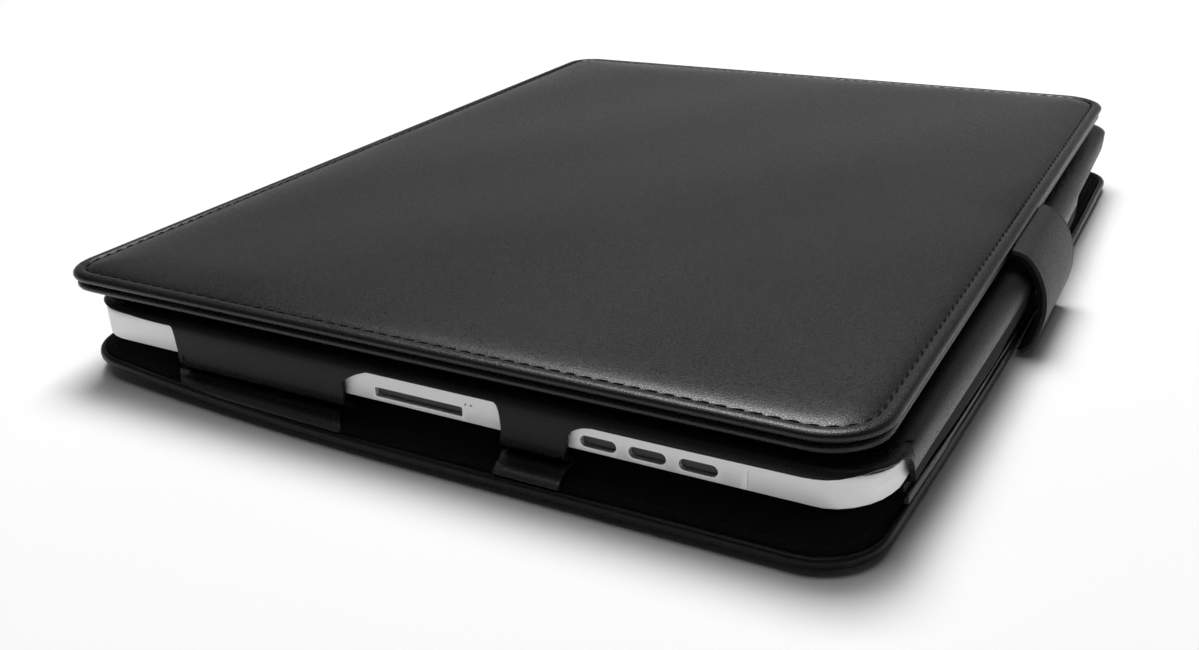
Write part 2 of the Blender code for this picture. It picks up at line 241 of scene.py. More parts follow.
def ease_edges(piece, width):
    """Rounds the cut edges of a piece of leather by width, in millimetres."""
    apply_modifier(piece, "BEVEL", width=width * MM, segments=2, limit_method="ANGLE",
                   angle_limit=math.radians(55))


def smooth(piece, angle=40.0):
    """Smooth shading, kept sharp where faces meet at more than angle."""
    bpy.ops.object.select_all(action="DESELECT")
    piece.select_set(True)
    bpy.context.view_layer.objects.active = piece
    bpy.ops.object.shade_smooth_by_angle(angle=math.radians(angle))


def stretched_skin(name, outline, section, columns, rows, shape=None):
    """A skin stretched over a rounded panel: ring by ring it follows section in from its free edge.

    section is (inset, height) from the free edge inwards; the rings after the last keep its height.
    shape(x, y, inset) adds to the height. An "inset" attribute keeps how far in each point is.
    """
    piece, cells = new_grid(name, columns, rows)
    half = (outline["x"][1] - outline["x"][0]) / 2
    rings = columns // 2
    last_inset, last_height = section[-1]
    insets = []
    for vert, (column, row) in zip(piece.data.vertices, cells):
        ring = min(column, columns - column, row, rows - row)
        if ring < len(section):
            inset, height = section[ring]
        else:
            share = (ring - len(section) + 1) / (rings - len(section) + 1)
            inset = last_inset + (half - 0.5 - last_inset) * share
            height = last_height
        wide, tall = columns - 2 * ring, rows - 2 * ring
        if row == ring and wide > 0:
            side, part = 0, (column - ring) / wide
        elif column == columns - ring:
            side, part = 1, (row - ring) / tall
        elif row == rows - ring:
            side, part = 2, (columns - ring - column) / wide
        else:
            side, part = 3, (rows - ring - row) / tall
        x, y, out_x, out_y = side_place(outline, inset, side, part)
        if shape:
            height += shape(x, y, inset)
        vert.co = (x * MM, y * MM, height * MM)
        insets.append(inset)
    attribute = piece.data.attributes.new("inset", "FLOAT", "POINT")
    attribute.data.foreach_set("value", insets)
    return piece


def grain_group():
    """Fine leather grain, shared by every leather: its height, its pores and a slow uneven tone."""
    group = bpy.data.node_groups.new("leather_grain", "ShaderNodeTree")
    for socket, side in (("Cell scale", "INPUT"), ("Uneven scale", "INPUT"), ("Height", "OUTPUT"),
                         ("Pores", "OUTPUT"), ("Uneven", "OUTPUT")):
        group.interface.new_socket(socket, in_out=side, socket_type="NodeSocketFloat")
    given = group.nodes.new("NodeGroupInput")
    result = group.nodes.new("NodeGroupOutput")
    place = add_node(group, "TexCoord")
    warp = add_node(group, "TexNoise", {"Scale": 900.0, "Detail": 2.0})
    shift = add_node(group, "VectorMath", {"Scale": 0.0004}, operation="SCALE")
    moved = add_node(group, "VectorMath")
    cells = add_node(group, "TexVoronoi", feature="DISTANCE_TO_EDGE")
    ridge = add_node(group, "MapRange", {"From Max": 0.22})
    fine = add_node(group, "TexNoise", {"Scale": 5200.0, "Detail": 3.0})
    finer = add_node(group, "Math", {1: 0.55}, operation="MULTIPLY")
    height = add_node(group, "Math", operation="ADD")
    pits = add_node(group, "TexVoronoi", {"Scale": 700.0})
    pit = add_node(group, "MapRange", {"From Min": 0.06, "From Max": 0.16})
    slow = add_node(group, "TexNoise", {"Detail": 4.0, "Roughness": 0.6})
    wire(group, (place, "Object", warp, "Vector"), (warp, "Color", shift, 0), (place, "Object", moved, 0),
         (shift, "Vector", moved, 1), (moved, "Vector", cells, "Vector"),
         (given, "Cell scale", cells, "Scale"), (cells, "Distance", ridge, "Value"),
         (place, "Object", fine, "Vector"), (fine, "Fac", finer, 0),
         (ridge, "Result", height, 0), (finer, "Value", height, 1), (place, "Object", pits, "Vector"),
         (pits, "Distance", pit, "Value"), (place, "Object", slow, "Vector"),
         (given, "Uneven scale", slow, "Scale"), (height, "Value", result, "Height"),
         (pit, "Result", result, "Pores"), (slow, "Fac", result, "Uneven"))
    return group


LEATHER_GRAIN = grain_group()


def leather(name, dark, light, gloss, dull, cell, depth, uneven=26.0, sheen=0.5):
    """Black finished leather: dark to light by its uneven tone, gloss to dull in roughness."""
    material, tree, shader = new_finish(name, Specular_IOR_Level=sheen)
    grain = tree.nodes.new("ShaderNodeGroup")
    grain.node_tree = LEATHER_GRAIN
    grain.inputs["Cell scale"].default_value = cell
    grain.inputs["Uneven scale"].default_value = uneven
    tone = tone_mix(tree, (dark, dark, dark * 1.02), (light, light, light * 1.02))
    polish = add_node(tree, "MapRange", {"From Min": 0.3, "From Max": 0.7, "To Min": gloss + 0.2,
                                         "To Max": dull + 0.2})
    pitted = add_node(tree, "Math", operation="MULTIPLY")
    rubbed = add_node(tree, "Math", {1: -0.22}, operation="MULTIPLY_ADD")
    bump = add_node(tree, "Bump", {"Strength": 1.0, "Distance": depth})
    wire(tree, (grain, "Uneven", tone, "Factor"), (tone, "Result", shader, "Base Color"),
         (grain, "Uneven", polish, "Value"), (grain, "Height", rubbed, 0), (polish, "Result", rubbed, 2),
         (rubbed, "Value", shader, "Roughness"), (grain, "Height", pitted, 0), (grain, "Pores", pitted, 1),
         (pitted, "Value", bump, "Height"), (bump, "Normal", shader, "Normal"))
    return material


back_leather = leather("back_leather_black", 0.006, 0.012, 0.30, 0.42, 1500.0, 0.000015, 26.0, 0.22)


def corner_curl(x, y, inset):
    """The back panel's near spine-side corner curls up a little."""
    toward_spine = min(max(-x / 100.0, 0.0), 1.0)
    toward_near = min(max((-y - 60.0) / 62.0, 0.0), 1.0)
    return 2.4 * toward_spine**2 * toward_near**1.5


back_skin = stretched_skin(
    "back_panel_leather",
    BACK_OUTLINE,
    (
        (1.5, 3.3),
        (1.35, 3.65),
        (1.1, 3.82),
        (0.78, 3.86),
        (0.46, 3.74),
        (0.2, 3.45),
        (0.05, 3.05),
        (0.0, 2.6),
        (0.1, 2.1),
        (0.4, 1.6),
        (0.95, 1.2),
        (1.8, 0.95),
        (3.0, 0.75),
        (4.5, 0.5),
        (6.5, 0.2),
        (8.5, 0.04),
        (10.5, 0.0),
    ),
    92,
    116,
    corner_curl,
)
edit_all(back_skin, bpy.ops.mesh.flip_normals)
apply_modifier(back_skin, "SOLIDIFY", thickness=0.7 * MM, offset=-1.0)
back_skin.data.materials.append(back_leather)
smooth(back_skin, 50)
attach(back_skin, "back")
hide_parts("back_leather")


# Back panel: microfibre lining
# A very black napped microfibre sheet is glued over the board, its edge just under the turned
# leather. It shows in the cut-outs of the sleeve, and under the tablet once that is out.

def microfibre(name, dark, light, nap):
    """Black napped microfibre: short soft fibres with brushed patches."""
    material, tree, shader = new_finish(name, Roughness=1.0, Specular_IOR_Level=0.04, Sheen_Weight=0.04,
                                        Sheen_Roughness=0.6)
    place = add_node(tree, "TexCoord")
    fibres = add_node(tree, "TexNoise", {"Scale": 2600.0, "Detail": 4.0})
    brushed = add_node(tree, "TexNoise", {"Scale": 45.0, "Detail": 3.0})
    tone = tone_mix(tree, dark, light)
    mixed = add_node(tree, "Math", operation="MULTIPLY")
    bump = add_node(tree, "Bump", {"Strength": 0.8, "Distance": nap})
    wire(tree, (place, "Object", fibres, "Vector"), (place, "Object", brushed, "Vector"),
         (fibres, "Fac", mixed, 0), (brushed, "Fac", mixed, 1), (mixed, "Value", tone, "Factor"),
         (tone, "Result", shader, "Base Color"),
         (fibres, "Fac", bump, "Height"), (bump, "Normal", shader, "Normal"))
    return material


suede = microfibre("microfibre_black", 0.0045, 0.012, 0.00012)


def soft_lie(x, y, inset):
    """The lining's slight unevenness over the board."""
    wave = 0.12 * math.sin(x / 17.0 + 1.3) * math.sin(y / 23.0) if inset > 6.0 else 0.0
    return wave + corner_curl(x, y, inset)


back_suede = stretched_skin(
    "back_panel_microfibre",
    BACK_OUTLINE,
    (
        (1.6, 3.1),
        (1.65, 3.5),
        (1.85, 3.78),
        (2.4, 3.86),
        (3.4, 3.84),
        (3.9, 3.78),
        (4.6, 3.87),
        (6.5, 3.9),
        (10.0, 3.9),
    ),
    76,
    98,
    soft_lie,
)
apply_modifier(back_suede, "SOLIDIFY", thickness=0.5 * MM, offset=-1.0)
back_suede.data.materials.append(suede)
smooth(back_suede, 60)
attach(back_suede, "back")
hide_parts("back_lining")


# Back panel: edge stitching
# A lockstitch of black thread, about four millimetres to the stitch, runs round the panel through
# leather, board and lining. It is pulled down a little into the nap.

def thread_material(name, tone, gloss):
    """Twisted bonded thread."""
    material, tree, shader = new_finish(name, Roughness=gloss, Specular_IOR_Level=0.15)
    place = add_node(tree, "TexCoord")
    twist = add_node(tree, "TexWave", {"Scale": 900.0, "Distortion": 1.0}, bands_direction="DIAGONAL")
    shade = tone_mix(tree, tone * 0.55, tone)
    bump = add_node(tree, "Bump", {"Distance": 0.00006})
    wire(tree, (place, "Object", twist, "Vector"), (twist, "Fac", shade, "Factor"),
         (shade, "Result", shader, "Base Color"), (twist, "Fac", bump, "Height"),
         (bump, "Normal", shader, "Normal"))
    return material


thread_black = thread_material("thread_black", 0.003, 0.75)
thread_dull = thread_material("thread_dull_black", 0.016, 0.7)


def sewn_line(name, path, pitch, length, width, sink, swing, material, body):
    """One row of stitches along path, a list of (point, normal) in millimetres.

    swing turns each stitch a little across the row, as a lockstitch does, and sink lowers it.
    """
    bpy.ops.object.select_all(action="DESELECT")
    bpy.ops.mesh.primitive_cylinder_add(vertices=6, radius=width / 2 * MM, depth=length * MM,
                                        end_fill_type="NGON", rotation=(0.0, math.pi / 2, 0.0))
    stitch = bpy.context.object
    bpy.ops.object.transform_apply(location=False, rotation=True, scale=False)
    for share in (0.0, 0.3, -0.3):
        cut = (length * share * MM, 0.0, 0.0)
        edit_all(stitch, lambda: bpy.ops.mesh.bisect(plane_co=cut, plane_no=(1.0, 0.0, 0.0)))
    for vert in stitch.data.vertices:
        along = abs(vert.co.x) / (length / 2 * MM)
        if along > 0.9:
            vert.co.y *= 0.45
            vert.co.z *= 0.45
        vert.co.z -= along * along * width * 0.55 * MM
    smooth(stitch, 80)
    distances = [0.0]
    for (first, _), (second, _) in zip(path, path[1:]):
        distances.append(distances[-1] + (Vector(second) - Vector(first)).length)
    count = max(int(distances[-1] / pitch), 1)
    row = []
    index = 0
    for number in range(count):
        target = (number + 0.5) * distances[-1] / count
        while distances[index + 1] < target:
            index += 1
        part = (target - distances[index]) / max(distances[index + 1] - distances[index], 1e-6)
        first, second = Vector(path[index][0]), Vector(path[index + 1][0])
        up = (Vector(path[index][1]) * (1 - part) + Vector(path[index + 1][1]) * part).normalized()
        run = (second - first).normalized()
        run = (run - up * run.dot(up)).normalized()
        across = up.cross(run)
        turned = run * math.cos(swing) + across * math.sin(swing)
        across = up.cross(turned)
        spot = first.lerp(second, part) - up * sink
        turn = Matrix((turned, across, up)).transposed().to_4x4()
        copy = stitch.copy()
        copy.data = stitch.data.copy()
        copy.data.transform(Matrix.Translation(spot * MM) @ turn)
        bpy.context.scene.collection.objects.link(copy)
        row.append(copy)
    bpy.data.objects.remove(stitch)
    bpy.ops.object.select_all(action="DESELECT")
    for copy in row:
        copy.select_set(True)
    bpy.context.view_layer.objects.active = row[0]
    if len(row) > 1:
        bpy.ops.object.join()
    seam = bpy.context.view_layer.objects.active
    seam.name = name
    seam.data.name = name
    seam.data.materials.clear()
    seam.data.materials.append(material)
    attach(seam, body)
    return seam


def panel_row(outline, inset, height, spacing=1.5):
    """A closed line round a panel, drawn in by inset at height, as points with an upward normal."""
    path = []
    for side in range(4):
        span = outline["x"] if side % 2 == 0 else outline["y"]
        steps = int((span[1] - span[0]) / spacing)
        for step in range(steps):
            x, y, out_x, out_y = side_place(outline, inset, side, step / steps)
            level = height(x, y) if callable(height) else height
            path.append(((x, y, level), (0.0, 0.0, 1.0)))
    path.append(path[0])
    return path


panel_stitches = panel_row(BACK_OUTLINE, 3.9, lambda x, y: 3.84 + corner_curl(x, y, 3.9))
sewn_line("back_panel_stitching", panel_stitches, 3.9, 2.9, 0.42, 0.0, 0.06, thread_dull, "back")


# Back panel: board and keeper
# Hidden in the back panel are a grey pressed-fibre board and a thin steel keeper plate, which the
# magnet in the strap's tip holds to.

def speckled(name, dark, light, scale, roughness, depth, metallic=0.0, stretch=(1.0, 1.0, 1.0)):
    """A plain hidden material with its own speckle, drawn out along one axis where it is brushed."""
    material, tree, shader = new_finish(name, Metallic=metallic)
    place = add_node(tree, "TexCoord")
    mapping = add_node(tree, "Mapping", {"Scale": stretch})
    speckle = add_node(tree, "TexNoise", {"Scale": scale, "Detail": 5.0})
    tone = tone_mix(tree, dark, light)
    uneven = add_node(tree, "MapRange", {"To Min": roughness - 0.08, "To Max": roughness + 0.08})
    bump = add_node(tree, "Bump", {"Distance": depth})
    wire(tree, (place, "Object", mapping, "Vector"), (mapping, "Vector", speckle, "Vector"),
         (speckle, "Fac", tone, "Factor"), (tone, "Result", shader, "Base Color"),
         (speckle, "Fac", uneven, "Value"), (uneven, "Result", shader, "Roughness"),
         (speckle, "Fac", bump, "Height"), (bump, "Normal", shader, "Normal"))
    return material


def refinish(node, material):
    """Gives a part of the frame its detailed material."""
    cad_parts[node].data.materials.clear()
    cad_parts[node].data.materials.append(material)


fibre_board = speckled("fibre_board", (0.16, 0.15, 0.13), (0.30, 0.28, 0.25), 900.0, 0.88, 0.00006)
refinish("back_board", fibre_board)
steel = speckled("rolled_steel", (0.42, 0.42, 0.43), (0.60, 0.60, 0.61), 500.0, 0.34, 0.00001, 1.0,
                 (1.0, 0.04, 1.0))
refinish("keeper_plate", steel)


# Tablet: shell
# The tablet that the case carries has a bead-blasted aluminium shell with a gently curved back, a
# connector slot and three speaker slots at its near end. It carries no mark.

TABLET_OUTLINE = dict(x=(-94.85, 94.85), y=(-121.4, 121.4), radii=(11.0,) * 4, bow=0.0, rake=0.0)

shell_section = [(2.6, 16.5), (1.25, 16.6), (1.2, 17.6), (1.1, 17.85), (0.55, 17.9), (0.15, 17.75),
                 (0.0, 17.4), (0.0, 16.4), (0.0, 15.4), (0.0, 11.2), (0.12, 11.02)]
for step in range(1, 16):
    out = 1 - step / 15
    shell_section.append((22.0 * (1 - out), 4.5 + 6.5 * out * out))
shell = stretched_skin("tablet_aluminium_shell", TABLET_OUTLINE, shell_section, 96, 120)
insets = shell.data.attributes["inset"].data
for vert, inset in zip(shell.data.vertices, insets):
    if vert.co.z < 11.25 * MM and inset.value < 16.0:
        past_x = vert.co.x / MM - 83.85
        past_y = abs(vert.co.y) / MM - 110.4
        turn = 0.0
        if past_x > 0:
            turn = min(math.degrees(math.atan2(past_x, max(past_y, 0.01))), 70.0)
        fade = min(max((past_y + 30.0) / 30.0, 0.0), 1.0)
        lift = 0.022 * turn * fade if past_x > -12.0 else 0.0
        vert.co.z += lift * min((past_x + 12.0) / 12.0, 1.0) * (1 - inset.value / 16.0) ** 2 * MM
edit_all(shell, bpy.ops.mesh.flip_normals)
bpy.ops.object.mode_set(mode="EDIT")
bpy.ops.mesh.select_all(action="DESELECT")
bpy.ops.mesh.select_mode(type="EDGE")
bpy.ops.mesh.select_non_manifold()
bpy.ops.mesh.edge_face_add()
bpy.ops.object.mode_set(mode="OBJECT")


def slot_cutter(centre_x, centre_z, length, height, round_ends, depth, segments=12):
    """A bar that cuts a slot into the tablet's near end."""
    bpy.ops.object.select_all(action="DESELECT")
    bpy.ops.mesh.primitive_cube_add(size=1.0)
    cutter = bpy.context.object
    for vert in cutter.data.vertices:
        vert.co.x = (centre_x + math.copysign(length / 2, vert.co.x)) * MM
        vert.co.y = (-121.4 + (depth if vert.co.y > 0 else -2.0)) * MM
        vert.co.z = (centre_z + math.copysign(height / 2, vert.co.z)) * MM
    bpy.ops.object.mode_set(mode="EDIT")
    bpy.ops.mesh.select_all(action="DESELECT")
    bpy.ops.object.mode_set(mode="OBJECT")
    for edge in cutter.data.edges:
        first, second = (cutter.data.vertices[index].co for index in edge.vertices)
        edge.select = abs(first.y - second.y) > 1e-6
    bpy.ops.object.mode_set(mode="EDIT")
    bpy.ops.mesh.select_mode(type="EDGE")
    bpy.ops.mesh.bevel(offset=round_ends * MM, segments=segments, affect="EDGES")
    bpy.ops.object.mode_set(mode="OBJECT")
    return cutter


SPEAKERS = (41.0, 51.1, 61.25)
cutters = [slot_cutter(0.0, 13.15, 21.4, 2.1, 0.25, 4.0, 2)]
cutters += [slot_cutter(centre, 13.2, 7.6, 2.4, 1.19, 2.6) for centre in SPEAKERS]
cutters += [slot_cutter(70.7, 13.2, 0.14, 3.8, 0.03, 0.3, 1), slot_cutter(83.4, 17.0, 3.2, 0.4, 0.1, 0.4, 2)]
cutters += [slot_cutter(pinhole, 15.0, 0.5, 0.5, 0.2, 0.5, 2) for pinhole in (11.6, 12.9)]
for cutter in cutters:
    apply_modifier(shell, "BOOLEAN", object=cutter, operation="DIFFERENCE", solver="EXACT")
    bpy.data.objects.remove(cutter)


def aluminium_material():
    """Bead-blasted anodised aluminium: a dull even satin with a microscopic texture."""
    material, tree, shader = new_finish("aluminium_blasted", Metallic=0.45)
    place = add_node(tree, "TexCoord")
    blast = add_node(tree, "TexNoise", {"Scale": 7000.0, "Detail": 2.0})
    handled = add_node(tree, "TexNoise", {"Scale": 30.0})
    tone = tone_mix(tree, (0.86, 0.86, 0.87), (0.93, 0.93, 0.94))
    satin = add_node(tree, "MapRange", {"To Min": 0.44, "To Max": 0.56})
    bump = add_node(tree, "Bump", {"Strength": 0.6, "Distance": 0.00001})
    wire(tree, (place, "Object", blast, "Vector"), (place, "Object", handled, "Vector"),
         (blast, "Fac", tone, "Factor"), (tone, "Result", shader, "Base Color"),
         (handled, "Fac", satin, "Value"), (satin, "Result", shader, "Roughness"),
         (blast, "Fac", bump, "Height"),
         (bump, "Normal", shader, "Normal"))
    return material


aluminium = aluminium_material()
shell.data.materials.clear()
shell.data.materials.append(aluminium)
smooth(shell, 35)
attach(shell, "tablet")
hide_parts("tablet_shell")


# Tablet: glass, display, battery and slots
# The front is one sheet of glass over the display. Behind the near slots are a black connector
# tongue and three fine grilles.

def plate(name, outline, inset, low, high, segments, bevel):
    """A flat plate with a rounded outline and eased edges, from a plane's bevelled corners."""
    bpy.ops.object.select_all(action="DESELECT")
    bpy.ops.mesh.primitive_plane_add(size=1.0)
    piece = bpy.context.object
    piece.name = name
    piece.data.name = name
    for vert in piece.data.vertices:
        ends_x, ends_y = outline["x"], outline["y"]
        vert.co.x = (ends_x[0] + inset if vert.co.x < 0 else ends_x[1] - inset) * MM
        vert.co.y = (ends_y[0] + inset if vert.co.y < 0 else ends_y[1] - inset) * MM
        vert.co.z = low * MM
    bpy.ops.object.mode_set(mode="EDIT")
    bpy.ops.mesh.select_all(action="SELECT")
    bpy.ops.mesh.bevel(offset=(outline["radii"][0] - inset) * MM, segments=segments, affect="VERTICES")
    bpy.ops.mesh.select_all(action="SELECT")
    bpy.ops.mesh.extrude_region_move(TRANSFORM_OT_translate={"value": (0.0, 0.0, (high - low) * MM)})
    bpy.ops.mesh.select_all(action="SELECT")
    bpy.ops.mesh.normals_make_consistent(inside=False)
    bpy.ops.object.mode_set(mode="OBJECT")
    apply_modifier(piece, "BEVEL", width=bevel * MM, segments=3, limit_method="ANGLE")
    smooth(piece, 40)
    return piece


def glass_material():
    """Black-backed glass with faint finger marks in its polish."""
    material, tree, shader = new_finish("glass_black")
    place = add_node(tree, "TexCoord")
    marks = add_node(tree, "TexNoise", {"Scale": 60.0, "Detail": 6.0})
    polish = add_node(tree, "MapRange", {"To Min": 0.03, "To Max": 0.11})
    tone = tone_mix(tree, (0.005, 0.005, 0.006), (0.009, 0.009, 0.011))
    wire(tree, (place, "Object", marks, "Vector"), (marks, "Fac", polish, "Value"),
         (polish, "Result", shader, "Roughness"), (marks, "Fac", tone, "Factor"),
         (tone, "Result", shader, "Base Color"))
    return material


glass = plate("tablet_front_glass", TABLET_OUTLINE, 1.5, 16.75, 17.88, 10, 0.25)
glass_black = glass_material()
glass.data.materials.append(glass_black)
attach(glass, "tablet")
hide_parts("tablet_glass")

refinish("tablet_display", speckled("display_dark", (0.012, 0.012, 0.014), (0.02, 0.02, 0.023), 3000.0, 0.3,
                                    0.000002))
refinish("tablet_battery", speckled("battery_grey", (0.16, 0.16, 0.17), (0.22, 0.22, 0.23), 400.0, 0.5,
                                    0.00004))

socket_plastic = speckled("socket_plastic", (0.020, 0.020, 0.021), (0.034, 0.034, 0.035), 2500.0, 0.5,
                          0.00001)
refinish("tablet_dock_socket", socket_plastic)
for number in (1, 2, 3):
    refinish(f"tablet_speaker_grille_{number}", socket_plastic)


# Sleeve
# The sleeve is one piece of leather moulded over the tablet's edges: a frame round the screen whose
# outer edge folds down. Where the case holds the tablet it runs on as a wall, follows the curved back
# inwards and turns out again as a flange sewn to the back panel; between, it is cut away.

FRAME_OUTLINE = dict(x=(-95.9, 96.6), y=(-123.0, 121.0), radii=(12.5, 12.5, 12.5, 12.5), bow=0.0, rake=0.0)
WINDOW_OUTLINE = dict(x=(-83.0, 83.0), y=(-105.0, 108.0), radii=(6.0, 6.0, 6.0, 6.0), bow=0.0, rake=0.0)
FOLD = ((4.2, 19.8), (3.1, 19.74), (2.1, 19.58), (1.3, 19.28), (0.75, 18.85), (0.4, 18.3), (0.18, 17.5),
        (0.05, 16.5), (0.0, 15.4), (0.0, 14.2))
WALL = ((0.15, 12.6), (0.25, 11.2), (0.5, 9.9), (1.1, 8.7), (2.1, 7.6), (3.3, 6.7), (4.3, 6.05),
        (4.85, 5.75), (5.1, 5.5))
FLANGE = ((4.9, 5.44), (4.5, 5.6), (4.1, 5.85), (3.7, 5.95), (3.3, 5.8), (2.95, 5.5), (2.6, 5.36),
          (2.2, 5.5), (1.8, 5.66), (1.4, 5.66), (1.0, 5.45), (0.65, 5.0), (0.4, 4.45))
WALL_SPANS = {0: ((-65.0, -18.0), (20.5, 35.5)), 1: ((-109.5, 46.0),), 2: (), 3: ((-104.0, 100.0),)}
FOLD_ROWS = 9


def blend_between(value, low, high):
    """0 below low, 1 above high, smooth between."""
    part = min(max((value - low) / (high - low), 0.0), 1.0)
    return part * part * (3 - 2 * part)


def steps_between(value, table):
    """Reads a table of (place, amount), straight between its lines."""
    if value <= table[0][0]:
        return table[0][1]
    for (first, low), (last, high) in zip(table, table[1:]):
        if value <= last:
            return low + (high - low) * (value - first) / (last - first)
    return table[-1][1]


NEAR_LIP = ((60.0, 17.0), (82.0, 17.1), (84.5, 17.4), (87.0, 17.8), (88.6, 18.2), (90.4, 18.6), (92.0, 18.9),
            (95.0, 19.05))


def lip_height(side, place):
    """Height of the frame's folded edge at a place along one side, where no wall hangs from it."""
    if side == 0:
        if place < -60.0:
            return 18.1 + 0.9 * blend_between(-place, 70.0, 92.0)
        if place < 28.0:
            return 17.8
        return steps_between(place, NEAR_LIP)
    if side == 1:
        if place < 0.0:
            return 19.05
        return 16.8 + 1.9 * blend_between(place, 96.0, 110.0)
    if side == 2:
        return 18.7
    if place < 0.0:
        return 19.0
    return 17.4 + 1.3 * blend_between(place, 102.0, 112.0)


def flange_end(side, place):
    """How far inside the frame's outline a wall's flange ends; it reaches beyond it at the near end."""
    if side == 0:
        return 0.5 - (4.0 - BACK_OUTLINE["rake"] * (min(place, 0.0) / 101.0) ** 2)
    if side == 1:
        return 3.2 * ((place - 60.0) / 165.0) ** 2 - 1.3
    return -1.2


# The strap-side wall: how far its middle bulges out and its foot lies in, at places along it, and how
# much of that inward fall is reached at each height.
SIDE_FALL = ((5.6, 1.0), (6.1, 0.97), (6.7, 0.88), (7.6, 0.70), (8.7, 0.45), (9.9, 0.24), (11.2, 0.10),
             (12.6, 0.03), (14.2, 0.0))
SIDE_BULGE = ((-109.0, 0.0), (-100.0, 0.15), (-85.0, 0.55), (-67.0, 1.0), (-40.0, 1.6), (-20.0, 1.9),
              (25.0, 1.8), (60.0, 1.2), (112.0, 0.0))
SIDE_VALLEY = ((-106.0, 4.9), (-100.0, 4.4), (-80.0, 2.6), (-59.0, 1.7), (-43.0, 0.9), (30.0, 0.8))


def fold_point(run, path):
    """A point at a distance along a path of (inset, height)."""
    for first, second in zip(path, path[1:]):
        length = math.hypot(second[0] - first[0], second[1] - first[1])
        if run <= length:
            part = run / length
            return (first[0] + (second[0] - first[0]) * part, first[1] + (second[1] - first[1]) * part)
        run -= length
    return path[-1]


def fold_length(height):
    """How far along the fold its height comes down to height."""
    run = 0.0
    for first, second in zip(FOLD, FOLD[1:]):
        length = math.hypot(second[0] - first[0], second[1] - first[1])
        if second[1] <= height:
            return run + length * (first[1] - height) / max(first[1] - second[1], 1e-6)
        run += length
    return run


FILLET = {(0, -65.0): (1.6, 2.0), (0, -18.0): (6.5, 1.25), (0, 20.5): (1.4, 2.0), (0, 35.5): (5.0, 1.7),
          (1, -109.5): (3.6, 1.8), (1, 46.0): (4.0, 2.0), (3, -104.0): (6.0, 2.0), (3, 100.0): (4.0, 2.0)}


def hanging(side, place):
    """Whether a wall hangs at this place, and the height its fold rows end at."""
    lip = lip_height(side, place)
    foot = FOLD[-1][1]
    for span in WALL_SPANS[side]:
        if span[0] - 1e-6 <= place <= span[1] + 1e-6:
            return True, foot
        for edge in span:
            away = (place - edge) if edge == span[1] else (edge - place)
            reach, roundness = FILLET[(side, edge)]
            if 0 < away < reach:
                part = 1 - away / reach
                return False, lip - (lip - foot) * (1 - (1 - part**roundness) ** (1 / roundness))
    return False, lip


def side_part(outline, side, place):
    """Where along a side of an outline, from 0 to 1, a coordinate lies."""
    radius = outline["radii"][side]
    arc = radius * math.pi / 4
    if side % 2 == 0:
        low, high = outline["x"]
    else:
        low, high = outline["y"]
    straight = high - low - 2 * radius
    run = place - (low + radius) if side in (0, 1) else (high - radius) - place
    return (arc + run) / (2 * arc + straight)


def side_stations(side):
    """Places along one side of the sleeve, close together at the edges of its cut-outs."""
    marks = {0.0, 1.0}
    for span in WALL_SPANS[side]:
        for edge in span:
            outwards = 1 if edge == span[1] else -1
            reach = FILLET[(side, edge)][0]
            for share in (0.0, 0.04, 0.12, 0.25, 0.42, 0.65, 1.0):
                marks.add(round(side_part(FRAME_OUTLINE, side, edge + outwards * reach * share), 7))
            for depth in (0.5, 1.2, 2.2):
                marks.add(round(side_part(FRAME_OUTLINE, side, edge - outwards * depth), 7))
    marks = sorted(marks)
    length = 193.2 if side % 2 == 0 else 244.0
    filled = []
    for first, second in zip(marks, marks[1:]):
        steps = max(int((second - first) * length / 2.2), 1)
        for step in range(steps):
            filled.append(first + (second - first) * step / steps)
    return [(side, part) for part in filled]


def place_along(side, part):
    """The coordinate along its side of a station of the frame's outline."""
    x, y, out_x, out_y = side_place(FRAME_OUTLINE, 0.0, side, part)
    return x if side % 2 == 0 else y


def set_off(side, part, inset, along, height):
    """A point drawn in by inset from the frame's outline and moved along its side."""
    x, y, out_x, out_y = side_place(FRAME_OUTLINE, 0.0, side, part)
    return x - out_x * inset + abs(out_y) * along, y - out_y * inset + abs(out_x) * along, height


def wall_point(side, part, spot):
    """A point of the hanging wall, from its (inset, height)."""
    inset, height = spot
    place = place_along(side, part)
    along = 0.0
    if side == 0:
        along = -1.7 * blend_between(12.6 - height, 0.0, 6.5)
    elif side == 1:
        bulge = steps_between(place, SIDE_BULGE)
        along = 9.5 * blend_between(-place, 66.0, 109.0) * blend_between(15.0 - height, 0.0, 10.5)
        inset = steps_between(height, SIDE_FALL) * (steps_between(place, SIDE_VALLEY) + bulge) - bulge
    return set_off(side, part, inset, along, height)


def flange_point(side, part, spot):
    """A point of the sewn flange, from its (inset, height)."""
    inset, height = spot
    place = place_along(side, part)
    foot, tip = WALL[-1][0], FLANGE[-1][0]
    outer = (foot - inset) / (foot - tip)
    inner = steps_between(place, SIDE_VALLEY) if side == 1 else foot
    along = 0.0
    if side == 0:
        skew = 1.0 if place < 0.0 else 0.35
        along = skew * (-3.4 + 4.4 * blend_between(outer, 0.2, 1.0)) - 0.6
    elif side == 1:
        along = blend_between(-place, 66.0, 109.0) * (9.6 - 4.0 * outer)
    return set_off(side, part, inner + (flange_end(side, place) - inner) * outer, along, height)


